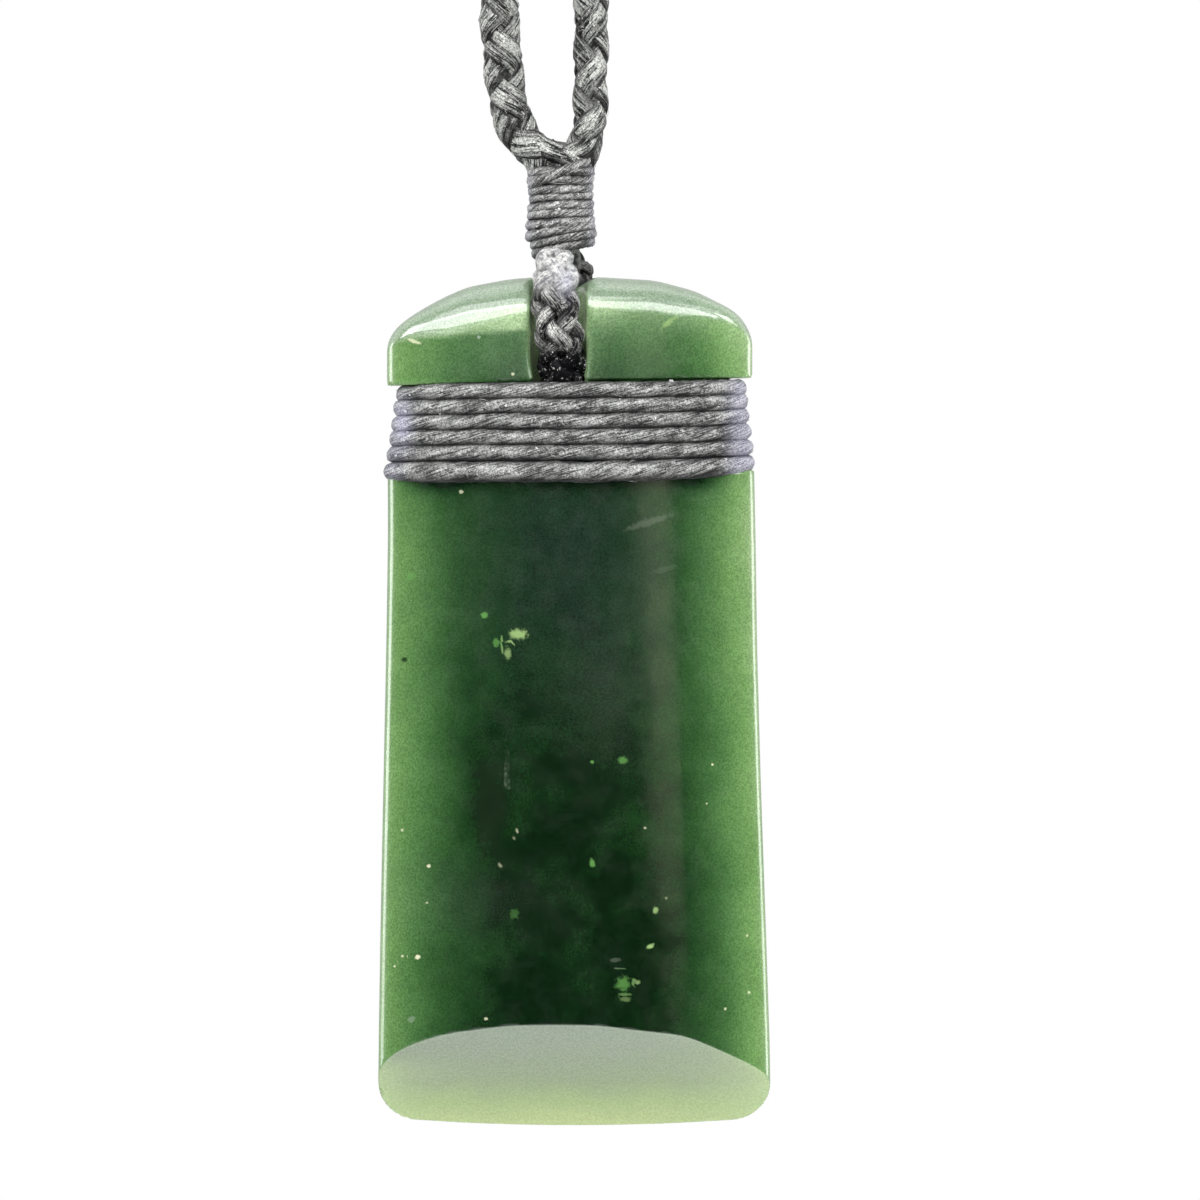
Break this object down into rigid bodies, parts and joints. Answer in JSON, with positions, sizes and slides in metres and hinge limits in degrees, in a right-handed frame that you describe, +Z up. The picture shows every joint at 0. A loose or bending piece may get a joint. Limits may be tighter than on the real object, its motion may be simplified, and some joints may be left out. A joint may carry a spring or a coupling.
{
  "type": "adze pendant",
  "caption": "polished greenstone adze blade with a ground bevel, lashed at the waist and hung by a braided bail through the blade, with a whipping into a braided neck cord loop",
  "frame": {"origin": "inner top of the neck cord's loop, where the loop hangs over what holds it up, in the middle of the cord's width", "axes": "+Z up, +X to the right of a viewer who faces the bevelled side of the blade, and that side faces -Y"},
  "size_m": [0.124, 0.0086, 0.341],
  "materials": {
    "stone": "polished greenstone, glossy, bright green at its edges and near black in the middle",
    "lashing_cord": "waxed twisted cord, warm grey with a lilac tint",
    "bail_cord": "waxed braided cord, dark grey with a soft shine",
    "whipping_thread": "waxed thread, mid grey",
    "neck_cord": "waxed braided cord, dark grey"
  },
  "bodies": {
    "root": {"blade": "stone", "lashing": "lashing_cord", "bail_strand_1": "bail_cord", "bail_strand_2": "bail_cord", "bail_strand_3": "bail_cord", "bail_strand_4": "bail_cord", "whipping": "whipping_thread", "neck_cord_left": "neck_cord", "neck_cord_right": "neck_cord"}
  },
  "joints": []
}
